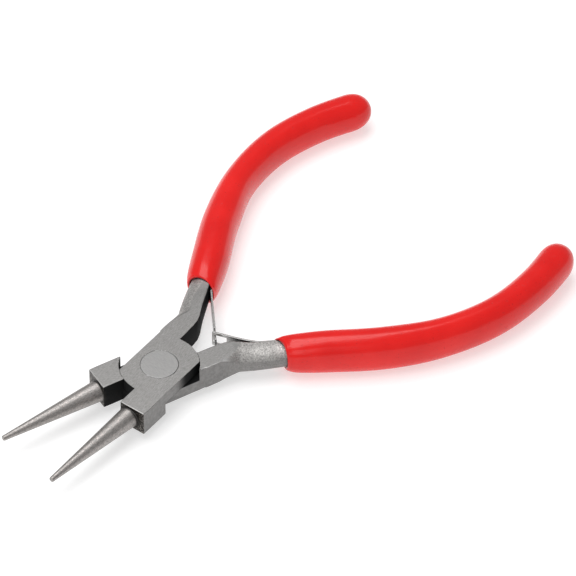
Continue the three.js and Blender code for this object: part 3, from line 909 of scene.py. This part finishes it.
def body_of_revolution(name, profile, sides, material):
    """Turned about Z from (radius, z) points that start and end on the axis."""
    angles = np.arange(sides) * 2 * np.pi / sides
    points = [(0, 0, profile[0][1])]
    for radius, z in profile[1:-1]:
        points += [(radius * math.cos(a), radius * math.sin(a), z) for a in angles]
    points.append((0, 0, profile[-1][1]))
    rows = len(profile) - 2
    faces = [(0, 1 + (k + 1) % sides, 1 + k) for k in range(sides)]
    for row in range(rows - 1):
        low, high = 1 + row * sides, 1 + (row + 1) * sides
        for k in range(sides):
            after = (k + 1) % sides
            faces.append((low + k, low + after, high + after, high + k))
    last, base = len(points) - 1, 1 + (rows - 1) * sides
    faces += [(last, base + k, base + (k + 1) % sides) for k in range(sides)]
    piece = new_piece(name, points, faces, material)
    outward_faces(piece)
    return piece


def make_rivet():
    """Two heads flush with the joint's faces on a thinner shank; the rim is painted dark as shade,
    darkest towards +y.
    """
    sides, corner, fillet = 128, 0.02, 0.05
    head = RIVET_HEAD_DEPTH
    half = [(0, 0), (RIVET_RADIUS * 0.5, 0), (RIVET_RADIUS - 2.5 * RIVET_EDGE, 0),
            (RIVET_RADIUS - RIVET_EDGE, 0), (RIVET_RADIUS - RIVET_EDGE * 0.3, RIVET_EDGE * 0.3),
            (RIVET_RADIUS, RIVET_EDGE), (RIVET_RADIUS, 2.5 * RIVET_EDGE),
            (RIVET_RADIUS, head - corner), (RIVET_RADIUS - corner, head),
            (SHANK_RADIUS + fillet, head), (SHANK_RADIUS, head + fillet)]
    profile = half + [(r, THICKNESS - z) for r, z in reversed(half)]
    piece = body_of_revolution("pivot_rivet_turned", profile, sides, RIVET_STEEL)
    co = np.array([v.co for v in piece.data.vertices]) / MM
    # painted shade on the head's rim, darkest towards +y
    rim_shade = ramp(np.hypot(co[:, 0], co[:, 1]), RIVET_RADIUS - 0.12, RIVET_RADIUS - 0.02)
    rim_shade *= 0.25 + 0.75 * ramp(co[:, 1], -0.5 * RIVET_RADIUS, 0.8 * RIVET_RADIUS)
    add_mask(piece.data, "edge", rim_shade)
    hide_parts("pivot_rivet")
    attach(piece, "lower_handle")


# ------------------------------------------------------------------ leaf spring

def beside_inner_face(place_along, distance):
    """Plan point off the arm's inner face, at a place along the arm's line."""
    centre = np.array([np.interp(place_along, ARM_AT, ARM_POINTS[:, k]) for k in range(2)])
    ahead = np.array([np.interp(place_along, ARM_AT, ARM_DIRECTION[:, k]) for k in range(2)])
    ahead /= np.linalg.norm(ahead)
    reach = table(ARM_HALF_WIDTH, place_along) + distance
    return centre + np.array([ahead[1], -ahead[0]]) * reach


def leaf_line(bend, reach):
    """Middle line of a leaf from its hidden end to past the crossing, with places along it, and
    the corner and heading of its bend."""
    steps = 24
    offset = LEAF_SEAT + LEAF_THICKNESS / 2
    crossing = turned(np.array([[LEAF_CROSSING, 0.0]]), -HALF_OPENING)[0]
    corner = beside_inner_face(bend["place"], offset)
    heading = (crossing - corner) / np.linalg.norm(crossing - corner)
    seat_end = bend["place"] + bend["before"]
    line = [beside_inner_face(at, offset) for at in np.linspace(LEAF_BASE, seat_end, steps)]
    start, after = line[-1], corner + heading * bend["after"]
    for t in np.linspace(0, 1, steps)[1:]:
        line.append((1 - t) ** 2 * start + 2 * t * (1 - t) * corner + t * t * after)
    line.append(crossing + heading * reach)
    line = np.array(line)
    at = np.concatenate([[0], np.cumsum(np.linalg.norm(np.diff(line, axis=0), axis=1))])
    return line, at - (at[-1] - reach), corner, heading


def spaced(marks, step):
    """Sorted positions that include every mark, no further apart than step."""
    marks = sorted(set(marks))
    out = []
    for low, high in zip(marks, marks[1:]):
        out += list(np.linspace(low, high, max(1, math.ceil((high - low) / step)) + 1)[:-1])
    return np.array(out + [marks[-1]])


def strip_solid(line, at, filled, s_marks, w_marks):
    """Closed sheet of the leaf's thickness, made of the filled cells of an (along, across) grid."""
    s, w = spaced(s_marks, LEAF_STEP[0]), spaced(w_marks, LEAF_STEP[1])
    centre = np.stack([np.interp(s, at, line[:, k]) for k in range(2)], axis=1)
    ahead = np.gradient(centre, s, axis=0)
    ahead /= np.linalg.norm(ahead, axis=1)[:, None]
    side = np.stack([-ahead[:, 1], ahead[:, 0]], axis=1)
    points, faces, index = [], [], {}

    def vertex(i, j, layer):
        key = (i, j, layer)
        if key not in index:
            flat = centre[i] + side[i] * (layer - 0.5) * LEAF_THICKNESS
            index[key] = len(points)
            points.append((flat[0], flat[1], MID + w[j]))
        return index[key]

    def full(i, j):
        inside = 0 <= i < len(s) - 1 and 0 <= j < len(w) - 1
        return inside and filled((s[i] + s[i + 1]) / 2, (w[j] + w[j + 1]) / 2)

    for i in range(len(s) - 1):
        for j in range(len(w) - 1):
            if not full(i, j):
                continue
            corners = [(i, j), (i + 1, j), (i + 1, j + 1), (i, j + 1)]
            faces.append([vertex(a, b, 1) for a, b in corners])
            faces.append([vertex(a, b, 0) for a, b in reversed(corners)])
            around = [(i, j - 1), (i + 1, j), (i, j + 1), (i - 1, j)]
            for k, neighbour in enumerate(around):
                if not full(*neighbour):
                    a, b = corners[k], corners[(k + 1) % 4]
                    faces.append([vertex(*a, 0), vertex(*b, 0), vertex(*b, 1), vertex(*a, 1)])
    return np.array(points), faces


def soften(piece, width):
    """Small rounded edges, applied to the mesh."""
    bevel = piece.modifiers.new("edges", "BEVEL")
    bevel.width = width * MM
    bevel.segments = 2
    bevel.limit_method = "ANGLE"
    bevel.angle_limit = math.radians(50)
    bevel.harden_normals = True
    depsgraph = bpy.context.evaluated_depsgraph_get()
    mesh = bpy.data.meshes.new_from_object(piece.evaluated_get(depsgraph))
    piece.modifiers.clear()
    piece.data = mesh


def make_leaf(half, name, bend, reach, filled, s_marks, widths):
    line, at, corner, heading = leaf_line(bend, reach)
    w_marks = [sign * width for width in widths for sign in (-1, 1)]
    points, faces = strip_solid(line, at, filled, [at[0], *s_marks, reach], w_marks)
    piece = new_piece(name, place(points, half), faces, SPRING_STEEL)
    outward_faces(piece)
    bpy.context.view_layer.update()
    soften(piece, LEAF_EDGE)
    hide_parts(f"{half}_spring_leaf")
    seat = beside_inner_face(bend["place"] + bend["before"], 0)
    past_bend = corner + heading * min(bend["after"], LONGEST_BLEND)
    ends = np.column_stack([[seat, past_bend], [MID, MID]])
    start, end = place(ends, half) * MM
    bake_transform(piece)


def make_leaves():
    def tongue(s, w):
        if s < TONGUE[0]:
            return abs(w) < LEAF_HALF_WIDTH
        return abs(w) < (TONGUE_HALF_WIDTH if s < TONGUE[1] else HEAD_HALF_WIDTH)

    def slotted(s, w):
        return not (SLOT[0] < s < SLOT[1] and abs(w) < SLOT_HALF_WIDTH)

    make_leaf("upper", "tongue_leaf_strip", TONGUE_BEND, HEAD_END, tongue, TONGUE,
              (LEAF_HALF_WIDTH, TONGUE_HALF_WIDTH, HEAD_HALF_WIDTH))
    make_leaf("lower", "slotted_leaf_strip", SLOTTED_BEND, SLOTTED_END, slotted, SLOT,
              (LEAF_HALF_WIDTH, SLOT_HALF_WIDTH))


def finish_spring_rivets():
    """They are hidden in the sleeves, so the CAD's own nodes only get a material."""
    for half in ("upper", "lower"):
        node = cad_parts[f"{half}_spring_rivet"]
        node.data.materials.clear()
        node.data.materials.append(SPRING_STEEL)


# ------------------------------------------------------------------ floor, light and camera

def make_stage():
    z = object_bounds()[0][2] - FLOOR_GAP
    signs = [(-1, -1), (1, -1), (1, 1), (-1, 1)]
    corners = [(x * FLOOR_REACH, y * FLOOR_REACH, z) for x, y in signs]
    mesh = bpy.data.meshes.new("floor")
    mesh.from_pydata(corners, [], [(0, 1, 2, 3)])
    floor = bpy.data.objects.new("floor", mesh)
    bpy.context.scene.collection.objects.link(floor)
    n = Nodes("floor_white")
    place_m = n.add("ShaderNodeTexCoord", "Object")
    tint = n.mix(n.noise(place_m, 30.0, 2.0), grey(0.6), grey(0.63))
    mesh.materials.append(n.finish(Base_Color=tint, Roughness=0.9, Emission_Color=grey(1.0),
                                   Emission_Strength=0.5))


def area_light(name, position, size, power):
    """Rectangular lamp that points at the middle of the object."""
    light = bpy.data.lights.new(name, "AREA")
    light.shape = "RECTANGLE"
    light.size, light.size_y = size
    light.energy = power
    lamp = bpy.data.objects.new(name, light)
    lamp.location = position
    towards = Vector(STUDIO_MIDDLE) - Vector(position)
    lamp.rotation_euler = towards.to_track_quat("-Z", "Y").to_euler()
    bpy.context.scene.collection.objects.link(lamp)


def make_light():
    """White surroundings, a large lamp overhead and a weak one beside the camera."""
    world = bpy.data.worlds.new("studio")
    bpy.context.scene.world = world
    world.use_nodes = True
    background = world.node_tree.nodes["Background"]
    background.inputs["Color"].default_value = (1, 1, 1, 1)
    background.inputs["Strength"].default_value = 0.4
    area_light("overhead", (0.05, -0.15, 0.75), (0.9, 0.5), 5)
    area_light("camera_side", (0.65, 0.5, 0.5), (0.5, 0.5), 1.2)
    bpy.context.scene.view_settings.view_transform = "Standard"


def make_camera():
    """Looks down at the joint from in front and to the right of the jaws, with a long lens."""
    flat = math.cos(CAMERA_ELEVATION)
    back = Vector((math.sin(CAMERA_AZIMUTH) * flat, -math.cos(CAMERA_AZIMUTH) * flat,
                   math.sin(CAMERA_ELEVATION)))
    level = Vector((math.cos(CAMERA_AZIMUTH), math.sin(CAMERA_AZIMUTH), 0))
    upright = back.cross(level)
    right = level * math.cos(CAMERA_ROLL) + upright * math.sin(CAMERA_ROLL)
    up = upright * math.cos(CAMERA_ROLL) - level * math.sin(CAMERA_ROLL)
    slide = right * CAMERA_SLIDE[0] + up * CAMERA_SLIDE[1]
    data = bpy.data.cameras.new("photo_camera")
    data.lens = CAMERA_LENS
    data.sensor_width = CAMERA_SENSOR
    camera = bpy.data.objects.new("photo_camera", data)
    turn = Matrix((right, up, back)).transposed().to_4x4()
    camera.matrix_world = Matrix.Translation(back * CAMERA_DISTANCE - slide) @ turn
    bpy.context.scene.collection.objects.link(camera)
    bpy.context.scene.camera = camera


make_halves()
make_sleeves()
make_rivet()
make_leaves()
finish_spring_rivets()
make_stage()
make_light()
make_camera()
